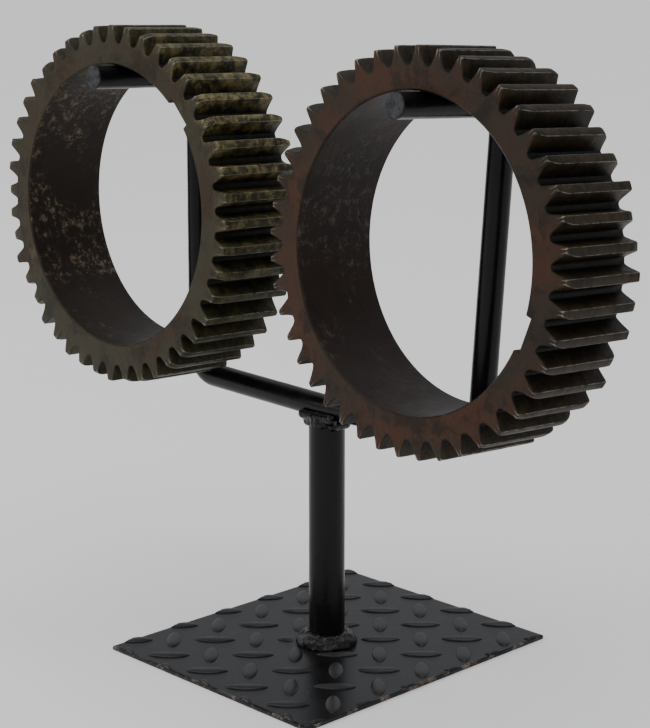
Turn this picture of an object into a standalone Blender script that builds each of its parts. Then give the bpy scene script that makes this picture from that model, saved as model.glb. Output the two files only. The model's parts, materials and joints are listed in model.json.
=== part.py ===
"""Two worn spur ring gears hanging side by side on a welded bar stand.

Metres, +Z up.  X runs along the stand's bar (left gear at -X), and the gears' front faces look
towards -Y.  The origin is on the ground, under the post.
"""
import math

import bmesh
import bpy
from mathutils import Matrix, Vector

# Base plate: rolled tread plate with two sets of raised lozenges at right angles
PLATE_LOW = (-0.1017, -0.1175)
PLATE_HIGH = (0.1017, 0.1233)
PLATE_THICKNESS = 0.003
TREAD_PITCH = (0.0414, 0.0433)
TREAD_ORIGIN = (0.0033, 0.0086)
TREAD_LENGTH = 0.030
TREAD_WIDTH = 0.0105
TREAD_HEIGHT = 0.0018
TREAD_CLEAR_RADIUS = 0.0245

# Stand
GAP = 0.0003
POST_RADIUS = 0.0130
POST_WALL = 0.0028
BAR_RADIUS = 0.00865
PEG_RADIUS = 0.0084
BAR_MIDDLE = (0.0, 0.0, 0.1783)
BEND_RADIUS = 0.018
# The bar's corners and tops: both risers lean back and a little outwards
LEFT_CORNER = (-0.1365, 0.0, 0.1819)
LEFT_TOP = (-0.1459, 0.0093, 0.4115)
RIGHT_CORNER = (0.1431, 0.0, 0.1819)
RIGHT_TOP = (0.1516, 0.00875, 0.4095)

# Welds, as the size of the lump that each one fills
BASE_WELD_RADIUS = 0.0245
BASE_WELD_HEIGHT = 0.010
HEAD_WELD_HALF = (0.019, 0.0165, 0.0145)
HEAD_WELD_Z = 0.1700
PEG_WELD_HALF = (0.0130, 0.0085, 0.0120)

# Gear: both are the same part
TEETH = 44
TIP_RADIUS = 0.1265
ROOT_RADIUS = 0.1144
PITCH_RADIUS = 0.1210
BORE_RADIUS = 0.0991
GEAR_WIDTH = 0.0660
TOOTH_AT_PITCH = math.radians(4.02)
TOOTH_AT_TIP = math.radians(2.55)
TOOTH_AT_ROOT = math.radians(5.75)
KEYWAY_WIDTH = 0.0234
KEYWAY_DEPTH = 0.0036
TOOTH_FROM_KEYWAY = math.radians(2.95)
BORE_STEPS = 84

# Each gear: its size against the sizes above, front face centre, its peg's tilt and turn, the keyway's angle, and
# how far the peg reaches past the face and back to the riser
GEARS = {
    "left": {"size": 1.013, "centre": (-0.1470, -0.0739, 0.3134), "tilt": math.radians(1.9),
             "yaw": math.radians(-0.6), "keyway": math.radians(43.8), "flipped": True,
             "peg_past": 0.0154, "peg_back_y": -0.0006},
    "right": {"size": 1.003, "centre": (0.1483, -0.0763, 0.3139), "tilt": math.radians(3.0),
              "yaw": math.radians(-1.4), "keyway": math.radians(-19.9), "flipped": False,
              "peg_past": 0.0170, "peg_back_y": -0.0011},
}

BLACK = (0.012, 0.012, 0.013)


def clear_scene():
    for item in list(bpy.data.objects):
        bpy.data.objects.remove(item, do_unlink=True)


def make_collection(name):
    collection = bpy.data.collections.new(name)
    bpy.context.scene.collection.children.link(collection)
    return collection


def make_material(name, colour, roughness, metallic):
    material = bpy.data.materials.new(name)
    material.use_nodes = True
    shader = material.node_tree.nodes["Principled BSDF"]
    shader.inputs["Base Color"].default_value = (*colour, 1.0)
    shader.inputs["Roughness"].default_value = roughness
    shader.inputs["Metallic"].default_value = metallic
    material.diffuse_color = (*colour, 1.0)
    return material


def add_piece(name, mesh, colour, roughness, metallic):
    piece = bpy.data.objects.new(name, mesh)
    mesh.materials.clear()
    mesh.materials.append(make_material(name, colour, roughness, metallic))
    PIECES.objects.link(piece)
    return piece


def add_cutter(name, mesh):
    cutter = bpy.data.objects.new(name, mesh)
    cutter.hide_render = True
    cutter.display_type = "WIRE"
    CUTTERS.objects.link(cutter)
    return cutter


def mesh_from(build, name, smooth=False):
    work = bmesh.new()
    build(work)
    mesh = bpy.data.meshes.new(name)
    work.to_mesh(mesh)
    work.free()
    if smooth:
        mesh.shade_smooth()
    return mesh


def box_mesh(name, low, high):
    size = Vector(high) - Vector(low)
    middle = (Vector(high) + Vector(low)) / 2
    place = Matrix.Translation(middle) @ Matrix.Diagonal((*size, 1.0))
    return mesh_from(lambda work: bmesh.ops.create_cube(work, size=1.0, matrix=place), name)


def rod_mesh(name, start, end, radius, segments=40, end_radius=None):
    """A round rod, or a cone, between two points."""
    line = Vector(end) - Vector(start)
    turn = line.to_track_quat("Z", "Y").to_matrix().to_4x4()
    place = Matrix.Translation((Vector(start) + Vector(end)) / 2) @ turn
    return mesh_from(lambda work: bmesh.ops.create_cone(
        work, cap_ends=True, segments=segments, radius1=radius,
        radius2=radius if end_radius is None else end_radius, depth=line.length, matrix=place), name, True)


def ball_mesh(name, centre, half):
    place = Matrix.Translation(centre) @ Matrix.Diagonal((*half, 1.0))
    return mesh_from(lambda work: bmesh.ops.create_uvsphere(
        work, u_segments=28, v_segments=16, radius=1.0, matrix=place), name, True)


def combine(piece, other, operation):
    modifier = piece.modifiers.new(operation.lower(), "BOOLEAN")
    modifier.operation = operation
    modifier.solver = "EXACT"
    modifier.object = other


def bevel_edges(piece, width):
    modifier = piece.modifiers.new("bevel", "BEVEL")
    modifier.width = width
    modifier.segments = 1
    modifier.limit_method = "ANGLE"
    modifier.angle_limit = math.radians(50)


def curve_to_mesh(name, curve):
    """A curve becomes a plain mesh with its seams closed, and the curve goes."""
    maker = bpy.data.objects.new(name + "_curve", curve)
    PIECES.objects.link(maker)
    bpy.context.view_layer.update()
    shape = maker.evaluated_get(bpy.context.evaluated_depsgraph_get())
    mesh = bpy.data.meshes.new_from_object(shape)
    mesh.name = name
    bpy.data.objects.remove(maker, do_unlink=True)
    work = bmesh.new()
    work.from_mesh(mesh)
    bmesh.ops.remove_doubles(work, verts=work.verts, dist=0.00001)
    bmesh.ops.recalc_face_normals(work, faces=work.faces)
    work.to_mesh(mesh)
    work.free()
    return mesh


def add_spline(curve, points, closed):
    spline = curve.splines.new("POLY")
    spline.points.add(len(points) - 1)
    for slot, point in zip(spline.points, points):
        slot.co = (*point, 1.0)
    spline.use_cyclic_u = closed


def rounded_corners(corners, radius, steps=10):
    """A polyline whose inner corners are arcs of one radius."""
    points = [Vector(corners[0])]
    for before, corner, after in zip(corners, corners[1:], corners[2:]):
        corner = Vector(corner)
        back = (Vector(before) - corner).normalized()
        ahead = (Vector(after) - corner).normalized()
        half = back.angle(ahead) / 2
        reach = radius / math.tan(half)
        centre = corner + (back + ahead).normalized() * (radius / math.sin(half))
        start = corner + back * reach - centre
        turn = start.rotation_difference(corner + ahead * reach - centre)
        for step in range(steps + 1):
            points.append(centre + Matrix.Rotation(turn.angle * step / steps, 3, turn.axis) @ start)
    points.append(Vector(corners[-1]))
    return points


def lozenge_places():
    """Centres and turns of the plate's raised lozenges: one set leans left, the other right."""
    places = []
    for leaning, shift in ((1, 0.0), (-1, 0.5)):
        for i in range(-4, 5):
            for j in range(-4, 5):
                x = TREAD_ORIGIN[0] + (i + shift) * TREAD_PITCH[0]
                y = TREAD_ORIGIN[1] + (j + shift) * TREAD_PITCH[1]
                near_plate = abs(x) < PLATE_HIGH[0] + 0.010 and PLATE_LOW[1] - 0.010 < y < PLATE_HIGH[1] + 0.010
                if near_plate and math.hypot(x, y) > TREAD_CLEAR_RADIUS * 0.6:
                    places.append((x, y, leaning * math.radians(135)))
    return places


def tread_mesh():
    def build(work):
        depth = TREAD_HEIGHT + 0.001
        for x, y, turn in lozenge_places():
            place = (Matrix.Translation((x, y, PLATE_THICKNESS + depth / 2 - 0.001))
                     @ Matrix.Rotation(turn, 4, "Z")
                     @ Matrix.Diagonal((TREAD_LENGTH / 2, TREAD_WIDTH / 2, 1.0, 1.0)))
            bmesh.ops.create_cone(work, cap_ends=True, segments=8, radius1=1.0, radius2=0.62,
                                  depth=depth, matrix=place)
    return mesh_from(build, "tread")


def add_base_plate():
    plate = add_piece("base_plate", box_mesh("base_plate", (*PLATE_LOW, 0.0),
                                             (*PLATE_HIGH, PLATE_THICKNESS)), BLACK, 0.35, 0.0)
    tread = add_cutter("tread", tread_mesh())
    edge = add_cutter("plate_edge", box_mesh("plate_edge", (*PLATE_LOW, -0.010), (*PLATE_HIGH, 0.020)))
    foot = add_cutter("post_foot", rod_mesh("post_foot", (0, 0, -0.010), (0, 0, 0.030),
                                            TREAD_CLEAR_RADIUS + 0.0004, 32))
    combine(tread, edge, "INTERSECT")
    combine(tread, foot, "DIFFERENCE")
    combine(plate, tread, "UNION")


def add_post():
    bottom = PLATE_THICKNESS + GAP
    top = BAR_MIDDLE[2] - BAR_RADIUS - GAP
    post = add_piece("post", rod_mesh("post", (0, 0, bottom), (0, 0, top), POST_RADIUS), BLACK, 0.3, 0.0)
    inside = add_cutter("post_inside", rod_mesh("post_inside", (0, 0, bottom - 0.01), (0, 0, top + 0.01),
                                                POST_RADIUS - POST_WALL))
    combine(post, inside, "DIFFERENCE")


def yoke_path():
    corners = [LEFT_TOP, LEFT_CORNER, BAR_MIDDLE, RIGHT_CORNER, RIGHT_TOP]
    left = rounded_corners(corners[:3], BEND_RADIUS)
    right = rounded_corners(corners[2:], BEND_RADIUS)
    return left + right[1:]


def bar_mesh(name, radius):
    curve = bpy.data.curves.new(name, "CURVE")
    curve.dimensions = "3D"
    curve.bevel_depth = radius
    curve.bevel_resolution = 5
    curve.use_fill_caps = True
    add_spline(curve, yoke_path(), False)
    mesh = curve_to_mesh(name, curve)
    mesh.shade_smooth()
    return mesh


def gear_turn(gear):
    """Turns local Z to the peg's direction, which is tilted up at the front, and local Y to up."""
    return Matrix.Rotation(gear["yaw"], 4, "Z") @ Matrix.Rotation(math.pi / 2 - gear["tilt"], 4, "X")


def peg_line(gear):
    """The peg's axis: its front end, its back end and its direction towards the front."""
    forward = gear_turn(gear).to_3x3() @ Vector((0, 0, 1))
    up = gear_turn(gear).to_3x3() @ Vector((0, 1, 0))
    at_face = Vector(gear["centre"]) + up * (BORE_RADIUS * gear["size"] - PEG_RADIUS - GAP)
    front = at_face + forward * gear["peg_past"]
    back = at_face + forward * ((gear["peg_back_y"] - at_face.y) / forward.y)
    return front, back, forward


def add_peg(side, gear):
    front, back, forward = peg_line(gear)
    peg = add_piece(side + "_peg", rod_mesh(side + "_peg", back, front, PEG_RADIUS), BLACK, 0.35, 0.0)
    bevel_edges(peg, 0.0009)


def add_peg_weld(side, gear):
    front, back, forward = peg_line(gear)
    lump = ball_mesh(side + "_peg_weld", back + Vector((0, 0, -0.0050)), PEG_WELD_HALF)
    weld = add_piece(side + "_peg_weld", lump, BLACK, 0.4, 0.0)
    around = add_cutter(side + "_peg_room", rod_mesh(side + "_peg_room", back - forward * 0.03, front,
                                                     PEG_RADIUS + GAP))
    above = add_cutter(side + "_weld_top", box_mesh(
        side + "_weld_top", (back.x - 0.03, -0.03, back.z + 0.003), (back.x + 0.03, 0.03, back.z + 0.03)))
    combine(weld, around, "DIFFERENCE")
    combine(weld, above, "DIFFERENCE")
    combine(weld, YOKE_ROOM, "DIFFERENCE")


def add_base_weld():
    bottom = PLATE_THICKNESS + GAP
    weld = add_piece("base_weld", rod_mesh("base_weld", (0, 0, bottom), (0, 0, bottom + BASE_WELD_HEIGHT),
                                           BASE_WELD_RADIUS, 40, POST_RADIUS + 0.0035), BLACK, 0.4, 0.0)
    bevel_edges(weld, 0.0012)
    room = add_cutter("post_room", rod_mesh("post_room", (0, 0, -0.01), (0, 0, 0.1), POST_RADIUS + GAP))
    combine(weld, room, "DIFFERENCE")


def add_head_weld():
    weld = add_piece("head_weld", ball_mesh("head_weld", (0, 0, HEAD_WELD_Z), HEAD_WELD_HALF), BLACK, 0.4, 0.0)
    top = BAR_MIDDLE[2] - BAR_RADIUS
    room = add_cutter("post_top_room", rod_mesh("post_top_room", (0, 0, 0.1), (0, 0, top), POST_RADIUS + GAP))
    combine(weld, room, "DIFFERENCE")
    combine(weld, YOKE_ROOM, "DIFFERENCE")


def polar(radius, angle):
    return (radius * math.cos(angle), radius * math.sin(angle), 0.0)


def tooth_outline():
    """The toothed rim, anticlockwise, with the keyway at angle zero."""
    points = []
    for tooth in range(TEETH):
        middle = TOOTH_FROM_KEYWAY + tooth * 2 * math.pi / TEETH
        sides = ((ROOT_RADIUS, TOOTH_AT_ROOT), (PITCH_RADIUS, TOOTH_AT_PITCH), (TIP_RADIUS - 0.0006, TOOTH_AT_TIP))
        points += [polar(radius, middle - width / 2) for radius, width in sides]
        points.append(polar(TIP_RADIUS, middle - TOOTH_AT_TIP * 0.3))
        points.append(polar(TIP_RADIUS, middle + TOOTH_AT_TIP * 0.3))
        points += [polar(radius, middle + width / 2) for radius, width in reversed(sides)]
    return points


def bore_outline():
    half = math.asin(KEYWAY_WIDTH / 2 / BORE_RADIUS)
    floor = math.hypot(BORE_RADIUS + KEYWAY_DEPTH, KEYWAY_WIDTH / 2)
    floor_half = math.asin(KEYWAY_WIDTH / 2 / floor)
    arc = 2 * math.pi - 2 * half
    points = [polar(BORE_RADIUS, half + arc * step / BORE_STEPS) for step in range(BORE_STEPS + 1)]
    return points + [polar(floor, -floor_half), polar(floor, floor_half)]


def gear_mesh(name):
    curve = bpy.data.curves.new(name, "CURVE")
    curve.dimensions = "2D"
    curve.fill_mode = "BOTH"
    curve.extrude = GEAR_WIDTH / 2
    add_spline(curve, tooth_outline(), True)
    add_spline(curve, bore_outline(), True)
    return curve_to_mesh(name, curve)


def gear_place(gear):
    """Local Z is the gear's axis, out through its clawed side.  A flipped gear hangs the other way round."""
    stand_up = gear_turn(gear)
    middle = Vector(gear["centre"]) - stand_up.to_3x3() @ Vector((0, 0, GEAR_WIDTH * gear["size"] / 2))
    if gear["flipped"]:
        turn = Matrix.Rotation(math.pi, 4, "Y") @ Matrix.Rotation(math.pi - gear["keyway"], 4, "Z")
    else:
        turn = Matrix.Rotation(gear["keyway"], 4, "Z")
    return Matrix.Translation(middle) @ stand_up @ turn


def add_gear(side, gear, colour):
    mesh = gear_mesh(side + "_gear")
    mesh.transform(Matrix.Scale(gear["size"], 4))
    piece = add_piece(side + "_gear", mesh, colour, 0.45, 0.85)
    piece.matrix_world = gear_place(gear)


clear_scene()
PIECES = make_collection("ring_gears_on_stand")
CUTTERS = make_collection("cutters")
YOKE_ROOM = add_cutter("yoke_room", bar_mesh("yoke_room", BAR_RADIUS + GAP))
add_base_plate()
add_post()
add_piece("yoke", bar_mesh("yoke", BAR_RADIUS), BLACK, 0.3, 0.0)
add_base_weld()
add_head_weld()
for SIDE, GEAR in GEARS.items():
    add_peg(SIDE, GEAR)
    add_peg_weld(SIDE, GEAR)
add_gear("left", GEARS["left"], (0.115, 0.100, 0.072))
add_gear("right", GEARS["right"], (0.070, 0.055, 0.045))
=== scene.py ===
"""Looks for the two ring gears on their welded bar stand.  Metres, in the CAD model's frame.

Every piece rides on its CAD body and keeps the CAD model's sizes: the constants below that describe
the object are part.py's own.
"""
import json
import math

import bmesh
import bpy
import numpy as np
from mathutils import Matrix, Vector, noise


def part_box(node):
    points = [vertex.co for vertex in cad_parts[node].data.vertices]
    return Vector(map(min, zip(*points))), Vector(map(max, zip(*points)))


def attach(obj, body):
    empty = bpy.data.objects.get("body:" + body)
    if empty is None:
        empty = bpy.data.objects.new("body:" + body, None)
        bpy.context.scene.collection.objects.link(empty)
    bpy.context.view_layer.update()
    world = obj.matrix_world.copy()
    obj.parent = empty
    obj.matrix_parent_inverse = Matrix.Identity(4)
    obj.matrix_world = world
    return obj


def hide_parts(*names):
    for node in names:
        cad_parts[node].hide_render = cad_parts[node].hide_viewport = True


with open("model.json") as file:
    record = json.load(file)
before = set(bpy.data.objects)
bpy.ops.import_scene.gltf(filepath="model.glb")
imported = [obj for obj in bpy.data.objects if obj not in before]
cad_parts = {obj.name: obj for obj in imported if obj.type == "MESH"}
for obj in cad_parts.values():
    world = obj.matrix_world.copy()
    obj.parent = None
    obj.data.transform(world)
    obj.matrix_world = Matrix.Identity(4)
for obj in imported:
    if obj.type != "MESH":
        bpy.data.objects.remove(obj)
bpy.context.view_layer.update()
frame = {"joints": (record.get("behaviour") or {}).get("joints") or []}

# The stand, as in part.py
PLATE_THICKNESS = 0.003
TREAD_PITCH = (0.0414, 0.0433)
TREAD_ORIGIN = (0.0033, 0.0086)
TREAD_HALF = (0.0150, 0.00525)
TREAD_HEIGHT = 0.0018
TREAD_CLEAR_RADIUS = 0.0245
TREAD_REACH = 0.010
TREAD_RIM = 0.0007
POST_RADIUS = 0.0130
POST_WALL = 0.0028
BAR_RADIUS = 0.00865
PEG_RADIUS = 0.0084
BAR_MIDDLE = (0.0, 0.0, 0.1783)
BEND_RADIUS = 0.018
LEFT_CORNER = (-0.1365, 0.0, 0.1819)
LEFT_TOP = (-0.1459, 0.0093, 0.4115)
RIGHT_CORNER = (0.1431, 0.0, 0.1819)
RIGHT_TOP = (0.1516, 0.00875, 0.4095)

# The gear, as in part.py, plus the finer shape of a tooth
TEETH = 44
PITCH_ANGLE = 2 * math.pi / TEETH
TIP_RADIUS = 0.1265
ROOT_RADIUS = 0.1144
BORE_RADIUS = 0.0991
GEAR_WIDTH = 0.0660
KEYWAY_WIDTH = 0.0234
KEYWAY_DEPTH = 0.0036
TOOTH_FROM_KEYWAY = math.radians(2.95)
BORE_BEVEL = 0.0016
CLAW_DEPTH = 0.010
CLAW_CUT = math.radians(1.15)
ROOT_LINE_BELOW = 0.0016
CHIP_DEPTH = 0.0085
KNOCK_DEPTH = 0.0012
# Half a tooth, from the middle of a gap to the middle of the tip: degrees from the tooth's middle, and mm
# above the root
HALF_TOOTH = ((4.09, 0.0), (3.55, 0.05), (3.12, 0.5), (2.82, 1.7), (2.45, 3.6), (2.06, 6.1), (1.74, 8.6),
              (1.44, 10.85), (1.24, 11.75), (0.95, 12.05), (0.0, 12.1))
# Where a tooth's points lie along it, counted from the clawed side
TOOTH_STATIONS = (0.0, 0.0005, 0.0014, 0.0026, 0.0042, 0.006, 0.008, 0.010, 0.016, 0.024, 0.033, 0.042, 0.050,
                  0.056, 0.060, 0.063, 0.0645, 0.0655, GEAR_WIDTH)
# Each gear: its size against the sizes above, the keyway's angle seen from the front, and whether its clawed
# side faces back
HANGS = {"left": (1.013, math.radians(43.8), True), "right": (1.003, math.radians(-19.9), False)}

# View: the photograph's angle and distance
CAMERA_AZIMUTH = math.radians(45.81)
CAMERA_ELEVATION = math.radians(12.87)
CAMERA_DISTANCE = 1.3655
CAMERA_AIM = Vector((-0.0124, 0.0102, 0.2058))
CAMERA_LENS = 95.0


# ---------------------------------------------------------------- meshes

def link(name, mesh, material, body, node):
    piece = bpy.data.objects.new(name, mesh)
    mesh.materials.clear()
    mesh.materials.append(material)
    bpy.context.scene.collection.objects.link(piece)
    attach(piece, body)
    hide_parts(node)
    return piece


def mesh_of(name, points, faces, sharp=38):
    mesh = bpy.data.meshes.new(name)
    mesh.from_pydata([tuple(p) for p in points], [], faces)
    mesh.validate()
    mesh.shade_smooth()
    mesh.set_sharp_from_angle(angle=math.radians(sharp))
    return mesh


def grid_faces(rows, columns, closed_rows, closed_columns=True):
    """Quads over a grid of points, row by row."""
    faces = []
    for i in range(rows if closed_rows else rows - 1):
        for j in range(columns if closed_columns else columns - 1):
            k, l = (i + 1) % rows, (j + 1) % columns
            faces.append((i * columns + j, i * columns + l, k * columns + l, k * columns + j))
    return faces


def set_attribute(mesh, name, values):
    layer = mesh.attributes.new(name, "FLOAT", "POINT")
    layer.data.foreach_set("value", np.asarray(values, dtype=np.float32).ravel())


def ripple(point, scale, seed=0.0):
    """Smooth noise from -1 to 1 over a place in space."""
    return noise.noise(Vector(point) * scale + Vector((seed, seed * 1.7, -seed)))


def rounded_corners(corners, radius, steps=14):
    points = [Vector(corners[0])]
    for before, corner, after in zip(corners, corners[1:], corners[2:]):
        corner = Vector(corner)
        back = (Vector(before) - corner).normalized()
        ahead = (Vector(after) - corner).normalized()
        half = back.angle(ahead) / 2
        reach = radius / math.tan(half)
        centre = corner + (back + ahead).normalized() * (radius / math.sin(half))
        start = corner + back * reach - centre
        turn = start.rotation_difference(corner + ahead * reach - centre)
        for step in range(steps + 1):
            points.append(centre + Matrix.Rotation(turn.angle * step / steps, 3, turn.axis) @ start)
    points.append(Vector(corners[-1]))
    return points


def finer(points, step):
    """The same polyline with points no further apart than step."""
    result = [points[0]]
    for a, b in zip(points, points[1:]):
        count = max(1, math.ceil((b - a).length / step))
        result += [a.lerp(b, (k + 1) / count) for k in range(count)]
    return result


def bar_mesh(name, points, radius, edge, sides=56, wobble=0.00008):
    """A round bar along a line, its ends chamfered by edge, with the unevenness of brushed-on paint."""
    points = finer(points, 0.004)
    first = (points[1] - points[0]).normalized()
    last = (points[-1] - points[-2]).normalized()
    stations = [(points[0], radius * 0.45, first), (points[0], radius - edge, first),
                (points[0] + first * edge, radius, first)]
    for before, here, after in zip(points, points[1:], points[2:]):
        stations.append((here, radius, (after - before).normalized()))
    stations += [(points[-1] - last * edge, radius, last), (points[-1], radius - edge, last),
                 (points[-1], radius * 0.45, last)]
    side = first.orthogonal().normalized()
    verts, tips = [], []
    for place, size, along in stations:
        side = (side - along * side.dot(along)).normalized()
        other = along.cross(side)
        for k in range(sides):
            angle = 2 * math.pi * k / sides
            out = side * math.cos(angle) + other * math.sin(angle)
            spot = place + out * size
            verts.append(spot - out * wobble * (1 + ripple(spot, 90)))
            tips.append(1.0 if size < radius else 0.0)
    faces = grid_faces(len(stations), sides, False)
    count = len(verts)
    verts += [points[0], points[-1]]
    tips += [1.0, 1.0]
    end = (len(stations) - 1) * sides
    for k in range(sides):
        faces.append((count, (k + 1) % sides, k))
        faces.append((count + 1, end + k, end + (k + 1) % sides))
    mesh = mesh_of(name, verts, faces)
    set_attribute(mesh, "tip", tips)
    return mesh


def tube_mesh(name, low, high, outer, inner, sides=80):
    profile = [(inner, low), (outer, low), (outer, low + 0.0005)]
    profile += [(outer, low + (high - low) * k / 30) for k in range(1, 30)]
    profile += [(outer, high - 0.0005), (outer - 0.0005, high), (inner, high)]
    verts = []
    for radius, z in profile:
        for k in range(sides):
            angle = 2 * math.pi * k / sides
            out = Vector((math.cos(angle), math.sin(angle), 0))
            spot = out * radius + Vector((0, 0, z))
            shrink = 0.00009 * (1 + ripple(spot, 60)) if radius > inner else 0.0
            verts.append(spot - out * shrink)
    return mesh_of(name, verts, grid_faces(len(profile), sides, True))


def melted_mesh(name, blobs, voxel=0.0009, bottom=-1.0):
    """Overlapping balls run together into one lumpy bead, as a hand-laid weld, and no lower than bottom."""
    work = bmesh.new()
    for place, size in blobs:
        bmesh.ops.create_icosphere(work, subdivisions=2, radius=size, matrix=Matrix.Translation(place))
    mesh = bpy.data.meshes.new(name)
    work.to_mesh(mesh)
    work.free()
    maker = bpy.data.objects.new(name + "_maker", mesh)
    bpy.context.scene.collection.objects.link(maker)
    remesh = maker.modifiers.new("remesh", "REMESH")
    remesh.mode = "VOXEL"
    remesh.voxel_size = voxel
    smooth = maker.modifiers.new("smooth", "SMOOTH")
    smooth.iterations = 4
    bpy.context.view_layer.update()
    result = bpy.data.meshes.new_from_object(maker.evaluated_get(bpy.context.evaluated_depsgraph_get()))
    result.name = name
    for vertex in result.vertices:
        vertex.co.z = max(vertex.co.z, bottom)
    bpy.data.objects.remove(maker, do_unlink=True)
    result.shade_smooth()
    return result


# ---------------------------------------------------------------- materials

class Nodes:
    """A short way to write a node material."""

    def __init__(self, name):
        self.material = bpy.data.materials.new(name)
        self.material.use_nodes = True
        self.tree = self.material.node_tree
        self.shader = self.tree.nodes["Principled BSDF"]
        self.place = self.add("ShaderNodeTexCoord").outputs["Object"]

    def add(self, kind, inputs=None, **settings):
        node = self.tree.nodes.new(kind)
        for key, value in settings.items():
            setattr(node, key, value)
        for key, value in (inputs or {}).items():
            self.put(value, node.inputs[key])
        return node

    def put(self, value, socket):
        if isinstance(value, bpy.types.NodeSocket):
            self.tree.links.new(value, socket)
        else:
            socket.default_value = value

    def stretched(self, scale):
        node = self.add("ShaderNodeMapping", {"Vector": self.place, "Scale": scale})
        return node.outputs["Vector"]

    def noise(self, scale, detail=5.0, rough=0.6, place=None, distortion=0.0):
        inputs = {"Vector": place or self.place, "Scale": scale, "Detail": detail, "Roughness": rough,
                  "Distortion": distortion}
        node = self.add("ShaderNodeTexNoise", inputs)
        return node.outputs["Fac"]

    def ramp(self, value, low, high):
        """0 up to low, 1 from high, smooth between."""
        node = self.add("ShaderNodeMapRange", {"Value": value, "From Min": low, "From Max": high},
                        interpolation_type="SMOOTHSTEP")
        return node.outputs["Result"]

    def span(self, value, low, high):
        node = self.add("ShaderNodeMapRange", {"Value": value, "To Min": low, "To Max": high})
        return node.outputs["Result"]

    def maths(self, operation, a, b=0.0):
        node = self.add("ShaderNodeMath", {0: a, 1: b}, operation=operation, use_clamp=operation == "ADD")
        return node.outputs["Value"]

    def mix(self, factor, a, b):
        node = self.add("ShaderNodeMix", data_type="RGBA")
        self.put(factor, node.inputs["Factor"])
        self.put(a if isinstance(a, bpy.types.NodeSocket) else (*a, 1.0), node.inputs[6])
        self.put(b if isinstance(b, bpy.types.NodeSocket) else (*b, 1.0), node.inputs[7])
        return node.outputs[2]

    def attribute(self, name):
        return self.add("ShaderNodeAttribute", attribute_name=name).outputs["Fac"]

    def bump(self, height, distance, strength=1.0, under=None):
        inputs = {"Height": height, "Distance": distance, "Strength": strength}
        if under is not None:
            inputs["Normal"] = under
        return self.add("ShaderNodeBump", inputs).outputs["Normal"]

    def finish(self, colour, rough, metallic, normal=None):
        self.put(colour, self.shader.inputs["Base Color"])
        self.put(rough, self.shader.inputs["Roughness"])
        self.put(metallic, self.shader.inputs["Metallic"])
        if normal is not None:
            self.put(normal, self.shader.inputs["Normal"])
        return self.material


def enamel(name, dust=0.25, lumps=0.0, ends=False):
    """Black enamel brushed over steel: slow waves in the gloss, fine dust on top, a few rubbed spots."""
    n = Nodes(name)
    cloud = n.noise(35, 6, 0.65)
    specks = n.noise(900, 3, 0.7)
    surface = n.add("ShaderNodeNewGeometry").outputs["Normal"]
    upward = n.ramp(n.add("ShaderNodeSeparateXYZ", {0: surface}).outputs["Z"], 0.1, 0.95)
    settled = n.maths("MULTIPLY", n.maths("MULTIPLY", upward, n.ramp(cloud, 0.35, 0.75)), dust)
    grit = n.maths("MULTIPLY", n.ramp(specks, 0.62, 0.72), 0.10 + dust * 0.3)
    film = n.maths("ADD", settled, grit)
    colour = n.mix(film, (0.0030, 0.0030, 0.0033), (0.10, 0.096, 0.090))
    rough = n.maths("ADD", n.span(cloud, 0.16, 0.40), n.maths("MULTIPLY", film, 0.5))
    if ends:
        rubbed = n.maths("MULTIPLY", n.attribute("tip"), n.ramp(n.noise(240, 6, 0.7), 0.30, 0.62))
        colour = n.mix(rubbed, colour, (0.040, 0.042, 0.045))
        rough = n.maths("ADD", rough, n.maths("MULTIPLY", rubbed, 0.25))
    normal = n.bump(n.noise(45, 3, 0.5), 0.0009, 0.35)
    normal = n.bump(n.noise(420, 4, 0.6), 0.00012, 0.5, normal)
    if lumps:
        normal = n.bump(n.noise(330, 3, 0.55, distortion=0.8), lumps, 0.9, normal)
        rough = n.maths("MULTIPLY", rough, 0.55)
    n.shader.inputs["Specular IOR Level"].default_value = 0.26 if lumps else 0.20
    return n.finish(colour, rough, 0.0, normal)


def plate_enamel():
    """The tread plate's enamel: dust and a painted sheen on the lozenges' crests, and sheared edges that show
    steel and rust.
    """
    n = Nodes("plate_enamel")
    cloud = n.noise(28, 7, 0.65)
    scuffs = n.noise(210, 6, 0.75)
    crest = n.attribute("crest")
    cut = n.maths("MULTIPLY", n.attribute("cut"), n.ramp(n.noise(85, 7, 0.7), 0.50, 0.62))
    # Lighter grey on the lozenges' raised crests: partly dust, partly a painted reflection of the pale
    # surroundings.
    dust_and_sheen = n.maths("MULTIPLY", crest, n.span(scuffs, 0.05, 0.75))
    haze = n.maths("MULTIPLY", n.ramp(cloud, 0.40, 0.80), 0.05)
    film = n.maths("ADD", haze, n.maths("MULTIPLY", dust_and_sheen, 0.72))
    grit = n.maths("MULTIPLY", n.ramp(n.noise(1100, 2, 0.6), 0.66, 0.74), 0.25)
    colour = n.mix(n.maths("ADD", film, grit), (0.0032, 0.0032, 0.0034), (0.075, 0.073, 0.070))
    rust = n.mix(n.ramp(n.noise(320, 5, 0.7), 0.40, 0.60), (0.085, 0.046, 0.028), (0.20, 0.18, 0.15))
    colour = n.mix(cut, colour, rust)
    rough = n.maths("ADD", n.span(cloud, 0.20, 0.36), n.maths("MULTIPLY", n.maths("ADD", film, cut), 0.42))
    normal = n.bump(n.noise(38, 3, 0.5), 0.0006, 0.30)
    normal = n.bump(scuffs, 0.00018, 0.55, normal)
    n.shader.inputs["Specular IOR Level"].default_value = 0.24
    return n.finish(colour, rough, n.maths("MULTIPLY", cut, 0.5), normal)


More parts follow.
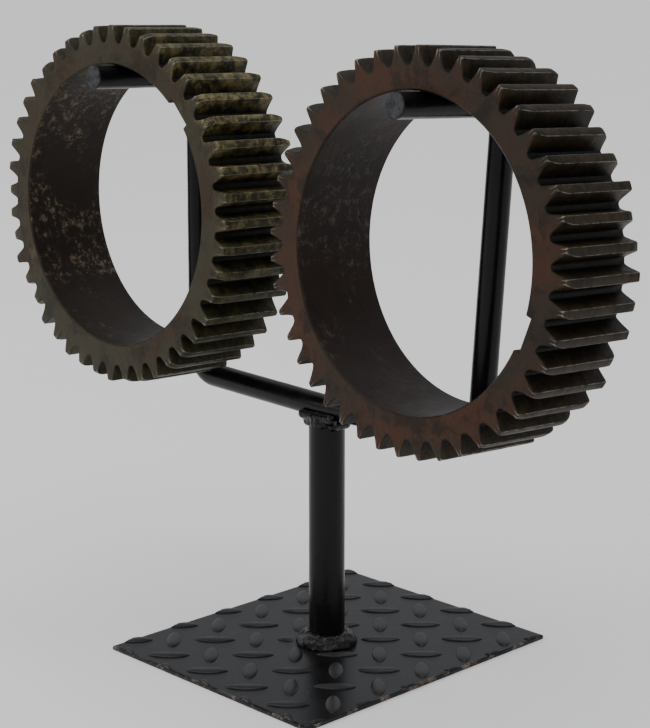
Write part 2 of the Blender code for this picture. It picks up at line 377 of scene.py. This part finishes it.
def gear_steel(name, face, tooth, stain, grease_and_highlight, bore, speck, shine):
    """Oily used steel: a patchy side face, streaked tooth flanks, a mottled bore, bright worn edges and
    painted shade towards the tooth roots.
    """
    n = Nodes(name)
    cloud = n.noise(16, 7, 0.62, distortion=0.4)
    blotch = n.noise(48, 7, 0.68, distortion=0.3)
    pits = n.noise(520, 5, 0.72)
    streak = n.noise(1.0, 6, 0.65, n.stretched((190, 190, 22)))
    on_face, on_bore, edge = n.attribute("face_zone"), n.attribute("bore_zone"), n.attribute("edge")

    side = n.mix(n.ramp(cloud, 0.38, 0.62), face, stain)
    side = n.mix(n.maths("MULTIPLY", n.ramp(blotch, 0.50, 0.62), 0.65), side, tuple(0.40 * c for c in face))
    scratch = n.noise(1.0, 5, 0.7, n.stretched((60, 600, 60)), 0.4)
    side = n.mix(n.maths("MULTIPLY", n.ramp(scratch, 0.62, 0.72), 0.45), side, tuple(2.6 * c for c in face))
    side = n.mix(n.maths("MULTIPLY", n.ramp(pits, 0.55, 0.72), 0.60), side, tuple(0.30 * c for c in face))
    flank = n.mix(n.ramp(streak, 0.35, 0.70), tooth, tuple(0.42 * c for c in tooth))
    # Grease smeared on the tooth flanks, brightest on the left gear's upper right teeth, where it is also a
    # painted highlight.
    smears = n.ramp(n.noise(105, 7, 0.75, distortion=0.3), 0.42, 0.64)
    greasy_and_lit = n.maths("MULTIPLY", smears, n.attribute("grease_and_highlight"))
    flank = n.mix(greasy_and_lit, flank, grease_and_highlight)
    inside = n.mix(n.ramp(cloud, 0.35, 0.7), bore, tuple(0.55 * c for c in bore))
    specks, patches = n.ramp(n.noise(170, 8, 0.80), 0.50, 0.64), n.ramp(n.noise(17, 5, 0.6), 0.44, 0.56)
    mottle = n.maths("MULTIPLY", specks, patches)
    inside = n.mix(mottle, inside, speck)
    colour = n.mix(on_face, flank, side)
    colour = n.mix(on_bore, colour, inside)
    # Painted shade: the teeth darkened to near black towards their roots, down in the gaps between them.
    colour = n.mix(n.maths("MULTIPLY", n.attribute("root_shade"), 0.92), colour, (0.004, 0.0035, 0.0025))
    worn = n.maths("MULTIPLY", n.ramp(edge, 0.50, 0.95), n.ramp(n.noise(160, 6, 0.75), 0.38, 0.58))
    colour = n.mix(n.maths("MULTIPLY", worn, shine), colour, (0.46, 0.43, 0.37))

    rough = n.maths("ADD", n.span(blotch, 0.30, 0.58), n.maths("MULTIPLY", mottle, 0.2))
    metallic = n.maths("ADD", 0.12, n.maths("MULTIPLY", worn, 0.6))
    waves = {"Vector": n.stretched((1, 1, 0)), "Scale": 330.0, "Distortion": 1.5}
    turning = n.add("ShaderNodeTexWave", waves, wave_type="RINGS", rings_direction="SPHERICAL").outputs["Fac"]
    normal = n.bump(n.maths("MULTIPLY", turning, on_face), 0.00006, 0.35)
    normal = n.bump(streak, 0.00035, 0.45, normal)
    normal = n.bump(blotch, 0.0010, 0.50, normal)
    normal = n.bump(pits, 0.00030, 0.80, normal)
    n.shader.inputs["Specular IOR Level"].default_value = 0.15
    return n.finish(colour, rough, metallic, normal)


def plain_floor():
    n = Nodes("pale_floor")
    tone = n.noise(3.0, 4, 0.5)
    colour = n.mix(tone, (0.86, 0.853, 0.845), (0.89, 0.883, 0.875))
    return n.finish(colour, 0.65, 0.0)


# ---------------------------------------------------------------- gears

def tooth_spots():
    """The outline, anticlockwise: each point's tooth number, angle from that tooth's middle, and radius."""
    half = [(math.radians(a), ROOT_RADIUS + h / 1000) for a, h in HALF_TOOTH]
    outline = [(-a, r) for a, r in half] + [(a, r) for a, r in reversed(half[1:-1])]
    return [(tooth, offset, radius) for tooth in range(TEETH) for offset, radius in outline]


def turned(tooth, offset):
    """The angle from the keyway, between minus pi and pi."""
    return (TOOTH_FROM_KEYWAY + tooth * PITCH_ANGLE + offset + math.pi) % (2 * math.pi) - math.pi


def claw(height, depth):
    """How far a tooth's clockwise flank is cut back near the clawed side, as an angle."""
    return CLAW_CUT * max(0.0, height) ** 0.7 * max(0.0, 1 - depth / CLAW_DEPTH) ** 1.6


def bore_points(angles):
    """The bore's outline at the given angles, with the keyway's corners kept square."""
    half = math.asin(KEYWAY_WIDTH / 2 / BORE_RADIUS)
    floor = BORE_RADIUS + KEYWAY_DEPTH
    floor_half = math.atan(KEYWAY_WIDTH / 2 / floor)
    points = {a: (a, BORE_RADIUS if abs(a) > half else floor / math.cos(a)) for a in angles}
    for side in (-1, 1):
        outside = min((a for a in angles if a * side > half), key=abs)
        inside = max((a for a in angles if 0 < a * side < half), key=abs)
        points[outside] = (side * half, BORE_RADIUS)
        points[inside] = (side * floor_half, floor / math.cos(floor_half))
    return points


def tooth_damage(tooth, depth, seed):
    """Chips and hammering at the two ends of a tooth, in metres off the tip."""
    back = max(0.0, (depth - GEAR_WIDTH + 0.008) / 0.008)
    front = max(0.0, 1 - depth / 0.004)
    chip = max(0.0, ripple((tooth * 3.1, depth * 40, seed), 1.0) + 0.15) * back ** 2
    knock = max(0.0, ripple((tooth * 5.3, 2.0, seed), 1.0)) * front
    return CHIP_DEPTH * chip + KNOCK_DEPTH * knock


def tooth_line(tooth, offset, radius, seed):
    """One line of points along a tooth, from the clawed side to the plain one: position and look of each."""
    height = (radius - ROOT_RADIUS) / (TIP_RADIUS - ROOT_RADIUS)
    corner = 1.0 if 0.955 < height < 0.985 else 0.15 if height > 0.985 else 0.0
    line = []
    for number, depth in enumerate(TOOTH_STATIONS):
        at_end = number in (0, len(TOOTH_STATIONS) - 1)
        by_end = at_end or number in (1, len(TOOTH_STATIONS) - 2)
        inset = 0.0005 if at_end else 0.0
        share = 0.0 if offset > 1e-6 else 1.0 if offset < -1e-6 else 0.45
        sideways = offset + share * claw(height, depth)
        sideways -= math.copysign(inset / TIP_RADIUS, offset) * min(1.0, height * 3)
        angle = turned(tooth, 0.0) + sideways
        wave = 0.00012 * ripple((angle * 9, depth * 60, height + seed), 1.0)
        ragged = 0.00035 * ripple((angle * 60, depth * 300, seed), 1.0) if by_end else 0.0
        lowered = radius - height * tooth_damage(tooth, depth, seed) - inset + wave + ragged
        bright = max(corner, (0.10 + height) * 0.55 if by_end else 0.0)
        # The last value darkens a tooth's flanks towards its root: painted shade in the gaps between teeth,
        # none on the end faces.
        line.append((angle, min(lowered, TIP_RADIUS), GEAR_WIDTH / 2 - depth,
                     {"face_zone": 0.55 if at_end else 0.0, "edge": min(bright, 1.0),
                      "root_shade": 0.0 if at_end else max(0.0, 1 - height * 1.7)}))
    return line


def gear_mesh(name, seed, greasy_and_lit):
    """Rings of points: up the bore, out over the clawed face, back along the teeth, in over the plain face.

    The last argument gives the amount of grease and painted highlight at an angle from the keyway.
    """
    spots = tooth_spots()
    bore = bore_points([turned(tooth, offset) for tooth, offset, _ in spots])
    top = GEAR_WIDTH / 2
    bevel = BORE_BEVEL * 0.8
    deep = top - bevel
    middle = (BORE_RADIUS + ROOT_RADIUS) / 2
    root_line = ROOT_RADIUS - ROOT_LINE_BELOW
    face, rim = {"face_zone": 1.0}, {"face_zone": 1.0, "edge": 0.2}
    stations = []
    for tooth, offset, radius in spots:
        angle = turned(tooth, offset)
        bore_angle, inner = bore[angle]
        stations += [(bore_angle, inner, -deep + deep * k / 4, {"bore_zone": 1.0}) for k in range(9)]
        stations += [(bore_angle, inner + bevel, top, rim), (angle, middle, top, face),
                     (angle, root_line, top, face)]
        stations += tooth_line(tooth, offset, radius, seed)
        stations += [(angle, root_line, -top, face), (angle, middle, -top, face),
                     (bore_angle, inner + bevel, -top, rim)]
    verts = [(r * math.cos(a), r * math.sin(a), z) for a, r, z, _ in stations]
    mesh = mesh_of(name, verts, grid_faces(len(spots), len(stations) // len(spots), True), 32)
    for label in ("face_zone", "bore_zone", "edge", "root_shade"):
        set_attribute(mesh, label, [look.get(label, 0.0) for _, _, _, look in stations])
    set_attribute(mesh, "grease_and_highlight", [greasy_and_lit(a) for a, _, _, _ in stations])
    return mesh


def gear_place(side):
    """Local Z is the gear's axis, out through its clawed side, and local X goes through its keyway."""
    size, keyway, flipped = HANGS[side]
    joint = next(j for j in frame["joints"] if j["child"] == side + "_gear")
    forward = Vector(joint["axis"])
    stand_up = (Matrix.Rotation(math.atan2(forward.x, -forward.y), 4, "Z")
                @ Matrix.Rotation(math.pi / 2 - math.asin(forward.z), 4, "X"))
    if flipped:
        turn = Matrix.Rotation(math.pi, 4, "Y") @ Matrix.Rotation(math.pi - keyway, 4, "Z")
    else:
        turn = Matrix.Rotation(keyway, 4, "Z")
    return Matrix.Translation(joint["pos_m"]) @ stand_up @ turn @ Matrix.Scale(size, 4)


def add_gears():
    """Both gears.  The left one's upper right teeth carry grease and a painted highlight, about a place near
    its keyway.
    """
    brown = gear_steel("brown_steel", face=(0.024, 0.017, 0.011), tooth=(0.020, 0.016, 0.009),
                       stain=(0.048, 0.020, 0.010), grease_and_highlight=(0.070, 0.038, 0.016),
                       bore=(0.019, 0.0105, 0.007), speck=(0.070, 0.060, 0.053), shine=0.42)
    olive = gear_steel("olive_steel", face=(0.036, 0.032, 0.018), tooth=(0.030, 0.028, 0.014),
                       stain=(0.036, 0.021, 0.010), grease_and_highlight=(0.200, 0.165, 0.070),
                       bore=(0.017, 0.0105, 0.0065), speck=(0.180, 0.140, 0.090), shine=0.42)
    # The left gear's grease is weighted to its upper right teeth, where it also stands in for a painted
    # highlight.
    lean = math.radians(12)
    looks = {"left": (olive, "olive_steel", 3.7, lambda a: 0.12 + 0.88 * max(0.0, math.cos(a - lean)) ** 3),
             "right": (brown, "brown_steel", 8.1, lambda a: 0.35)}
    for side, (material, slot, seed, greasy_and_lit) in looks.items():
        mesh = gear_mesh(side + "_ring_gear", seed, greasy_and_lit)
        mesh.transform(gear_place(side))
        link(side + "_ring_gear", mesh, material, side + "_gear", side + "_gear")


# ---------------------------------------------------------------- stand

def plate_mesh(low, high):
    """The flat plate, its sheared sides a little ragged."""
    xs = np.linspace(low.x, high.x, 61)
    ys = np.linspace(low.y, high.y, 71)
    rim = ([(x, low.y) for x in xs[:-1]] + [(high.x, y) for y in ys[:-1]]
           + [(x, high.y) for x in xs[:0:-1]] + [(low.x, y) for y in ys[:0:-1]])
    levels = [(0.0011, 0.0), (0.0002, 0.0), (0.0, 0.0006), (0.0, 0.0024), (0.0006, PLATE_THICKNESS),
              (0.0020, PLATE_THICKNESS)]
    verts, cut = [], []
    for inset, z in levels:
        for x, y in rim:
            ragged = 0.00035 * (1 + ripple((x, y, z), 160)) if 0 < z < PLATE_THICKNESS else 0.0004
            shrink = 1 - (inset + ragged) / 0.1
            verts.append((x * shrink, y * shrink, z))
            cut.append(1.0 if inset < 0.0015 and z > 0 else 0.0)
    faces = grid_faces(len(levels), len(rim), False)
    faces.append(tuple(range(len(rim)))[::-1])
    faces.append(tuple(range((len(levels) - 1) * len(rim), len(levels) * len(rim))))
    mesh = mesh_of("tread_plate", verts, faces)
    set_attribute(mesh, "cut", cut)
    set_attribute(mesh, "crest", [0.0] * len(verts))
    return mesh


def add_plate():
    low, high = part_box("base_plate")
    material = plate_enamel()
    link("tread_plate", plate_mesh(low, high), material, "stand", "base_plate")
    link("tread_lozenges", lozenge_mesh(low, high), material, "stand", "base_plate")


def lozenge_places(low, high):
    """Each lozenge's middle and the way it leans: two grids half a pitch apart, with none under the post."""
    places = []
    for leaning, shift in ((1, 0.0), (-1, 0.5)):
        for i in range(-4, 5):
            for j in range(-4, 5):
                x = TREAD_ORIGIN[0] + (i + shift) * TREAD_PITCH[0]
                y = TREAD_ORIGIN[1] + (j + shift) * TREAD_PITCH[1]
                outside = max(low.x - x, x - high.x, low.y - y, y - high.y) > TREAD_REACH
                if not outside and math.hypot(x, y) >= TREAD_CLEAR_RADIUS * 0.6:
                    places.append((Vector((x, y, 0)), leaning))
    return places


def between(value, low=0.0, high=1.0):
    return max(low, min(high, value))


def lozenge_point(middle, leaning, u, v, low, high):
    """A point of a lozenge and how far it is raised; u and v go from -1 to 1 along and across it."""
    half = TREAD_HALF[1] * max(0.02, 1 - u * u) ** (0.60 if leaning > 0 else 0.80)
    turn = Matrix.Rotation(leaning * math.radians(135), 3, "Z")
    spot = turn @ Vector((u * TREAD_HALF[0], v * half, 0)) + middle
    to_edge = min(high.x - spot.x, spot.x - low.x, high.y - spot.y, spot.y - low.y)
    rise = max(0.0, 1 - v * v) ** 0.55 * max(0.0, 1 - u ** 4) ** 0.8
    rise *= between((to_edge - 0.0006) / 0.0008)
    rise *= between((math.hypot(spot.x, spot.y) - TREAD_CLEAR_RADIUS) / 0.002)
    sunk = -0.0002 if rise <= 0.01 else 0.0
    return (between(spot.x, low.x + TREAD_RIM, high.x - TREAD_RIM),
            between(spot.y, low.y + TREAD_RIM, high.y - TREAD_RIM),
            PLATE_THICKNESS + TREAD_HEIGHT * rise + sunk), rise


def lozenge_mesh(low, high):
    """Raised lozenges with crowned tops, cut off at the plate's edges and round the post's weld."""
    along, across = 22, 12
    row = across + 1
    verts, faces, crest = [], [], []
    for middle, leaning in lozenge_places(low, high):
        first = len(verts)
        for a in range(along + 1):
            for b in range(row):
                u, v = -math.cos(math.pi * a / along), -math.cos(math.pi * b / across)
                point, rise = lozenge_point(middle, leaning, u, v, low, high)
                verts.append(point)
                crest.append(rise)
        for a in range(along):
            start = first + a * row
            faces += [(k, k + row, k + row + 1, k + 1) for k in range(start, start + across)]
    mesh = mesh_of("tread_lozenges", verts, faces, 60)
    set_attribute(mesh, "crest", crest)
    set_attribute(mesh, "cut", [0.0] * len(verts))
    return mesh


def add_bars():
    paint = enamel("bar_enamel", dust=0.10, ends=True)
    low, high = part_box("post")
    link("post_tube", tube_mesh("post_tube", low.z, high.z, POST_RADIUS, POST_RADIUS - POST_WALL),
         enamel("post_enamel", dust=0.05), "stand", "post")
    corners = [LEFT_TOP, LEFT_CORNER, BAR_MIDDLE, RIGHT_CORNER, RIGHT_TOP]
    path = rounded_corners(corners[:3], BEND_RADIUS) + rounded_corners(corners[2:], BEND_RADIUS)[1:]
    link("bent_bar", bar_mesh("bent_bar", path, BAR_RADIUS, 0.0006), paint, "stand", "yoke")
    for side in ("left", "right"):
        back, front = peg_ends(side)
        link(side + "_peg_bar", bar_mesh(side + "_peg_bar", [back, front], PEG_RADIUS, 0.0009),
             paint, "stand", side + "_peg")


def peg_ends(side):
    """The peg's axis, from its box and from the direction that it shares with its gear."""
    low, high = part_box(side + "_peg")
    joint = next(j for j in frame["joints"] if j["child"] == side + "_gear")
    axis = Vector(joint["axis"])
    middle = (low + high) / 2
    round_the_ends = 2 * PEG_RADIUS * math.hypot(axis.x, axis.z)
    half = (high.y - low.y - round_the_ends) / 2 / -axis.y
    return middle - axis * half, middle + axis * half


def ring_of_beads(centre, radius, size, count, seed):
    beads = []
    for k in range(count):
        angle = 2 * math.pi * k / count
        away = radius * (1 + 0.13 * ripple((k * 1.7, seed, 0), 1.0))
        lift = 0.0016 * ripple((k, seed, 4), 1.3)
        spot = Vector(centre) + Vector((away * math.cos(angle), away * math.sin(angle), lift))
        beads.append((spot, size * (1 + 0.55 * ripple((k * 2.3, seed, 9), 1.0))))
    return beads


def foot_beads(low):
    """The weld round the post's foot: one thick bead, with spatter outside it and a thin run above."""
    return (ring_of_beads((0, 0, low.z + 0.0022), 0.0160, 0.0050, 24, 2.0)
            + ring_of_beads((0, 0, low.z + 0.0002), 0.0190, 0.0036, 26, 5.0)
            + ring_of_beads((0, 0, low.z + 0.0062), 0.0136, 0.0031, 26, 7.0))


def head_beads(low, high):
    """The weld that holds the bar on the post: round the post's top, and up both sides of the bar."""
    beads = ring_of_beads((0.0006, 0, low.z + 0.0088), 0.0112, 0.0036, 22, 3.0)
    beads += ring_of_beads((0, 0, low.z + 0.0125), 0.0104, 0.0038, 18, 11.0)
    for across in (-1, 1):
        for k in range(11):
            lift = 0.0009 * ripple((k, across * 3.0, 2.0), 1.0)
            spot = Vector(((k - 5) * 0.0029, across * 0.0092, high.z - 0.0102 + lift))
            beads.append((spot, 0.0038 * (1 + 0.25 * ripple((k * 1.3, across, 6.0), 1.0))))
    for end in (-1, 1):
        for y in (-0.006, -0.003, 0.0, 0.003, 0.006):
            beads.append((Vector((end * 0.0125, y, BAR_MIDDLE[2] - 0.0110)), 0.0040))
    return beads


def peg_beads(back, seed):
    """The weld below and beside a peg's back end."""
    beads = []
    for k in range(19):
        angle = math.radians(174 + k * 192 / 18)
        reach = 0.0089 * (1 + 0.05 * ripple((k, seed, 0), 0.9))
        spot = Vector((math.cos(angle) * reach, -0.0008, math.sin(angle) * reach))
        beads.append((back + spot, 0.0031 * (1 + 0.22 * ripple((k, 5.0, seed), 0.9))))
        beads.append((back + spot * 0.95 + Vector((0, 0.0035, 0)), 0.0030))
    return beads


def add_welds():
    paint = enamel("weld_enamel", dust=0.10, lumps=0.0009)
    low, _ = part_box("base_weld")
    foot = melted_mesh("foot_weld_bead", foot_beads(low), bottom=low.z - 0.0008)
    link("foot_weld_bead", foot, paint, "stand", "base_weld")
    head = melted_mesh("head_weld_bead", head_beads(*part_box("head_weld")))
    link("head_weld_bead", head, paint, "stand", "head_weld")
    for side, seed in (("left", 1.0), ("right", 6.0)):
        back, _ = peg_ends(side)
        bead = melted_mesh(side + "_peg_bead", peg_beads(back, seed), 0.0007)
        link(side + "_peg_bead", bead, paint, "stand", side + "_peg_weld")


# ---------------------------------------------------------------- stage

def add_stage():
    half = 22.0
    mesh = bpy.data.meshes.new("floor")
    corners = [(-half, -half, 0), (half, -half, 0), (half, half, 0), (-half, half, 0)]
    mesh.from_pydata(corners, [], [(0, 1, 2, 3)])
    floor = bpy.data.objects.new("floor", mesh)
    mesh.materials.append(plain_floor())
    bpy.context.scene.collection.objects.link(floor)


def add_light(name, kind, energy, place, aim=(0, 0, 0.2), **settings):
    data = bpy.data.lights.new(name, kind)
    data.energy = energy
    for key, value in settings.items():
        setattr(data, key, value)
    lamp = bpy.data.objects.new(name, data)
    lamp.location = place
    lamp.rotation_mode = "QUATERNION"
    lamp.rotation_quaternion = (Vector(aim) - Vector(place)).to_track_quat("-Z", "Y")
    bpy.context.scene.collection.objects.link(lamp)


def add_lights():
    world = bpy.data.worlds.new("studio")
    bpy.context.scene.world = world
    world.use_nodes = True
    sky = world.node_tree.nodes["Background"]
    sky.inputs["Color"].default_value = (0.93, 0.95, 1.0, 1.0)
    sky.inputs["Strength"].default_value = 0.55
    add_light("overhead", "SUN", 1.6, (0.3, -0.2, 3.0), angle=math.radians(70))
    add_light("left_window", "AREA", 22.0, (-1.5, -1.6, 1.5), size=1.4)


def add_camera():
    back = Vector((math.sin(CAMERA_AZIMUTH) * math.cos(CAMERA_ELEVATION),
                   -math.cos(CAMERA_AZIMUTH) * math.cos(CAMERA_ELEVATION), math.sin(CAMERA_ELEVATION)))
    data = bpy.data.cameras.new("camera")
    data.lens = CAMERA_LENS
    data.sensor_width = 36.0
    camera = bpy.data.objects.new("camera", data)
    camera.location = CAMERA_AIM + back * CAMERA_DISTANCE
    camera.rotation_mode = "QUATERNION"
    camera.rotation_quaternion = (-back).to_track_quat("-Z", "Y")
    bpy.context.scene.collection.objects.link(camera)
    bpy.context.scene.camera = camera


add_camera()
add_stage()
add_lights()
add_gears()
add_plate()
add_bars()
add_welds()
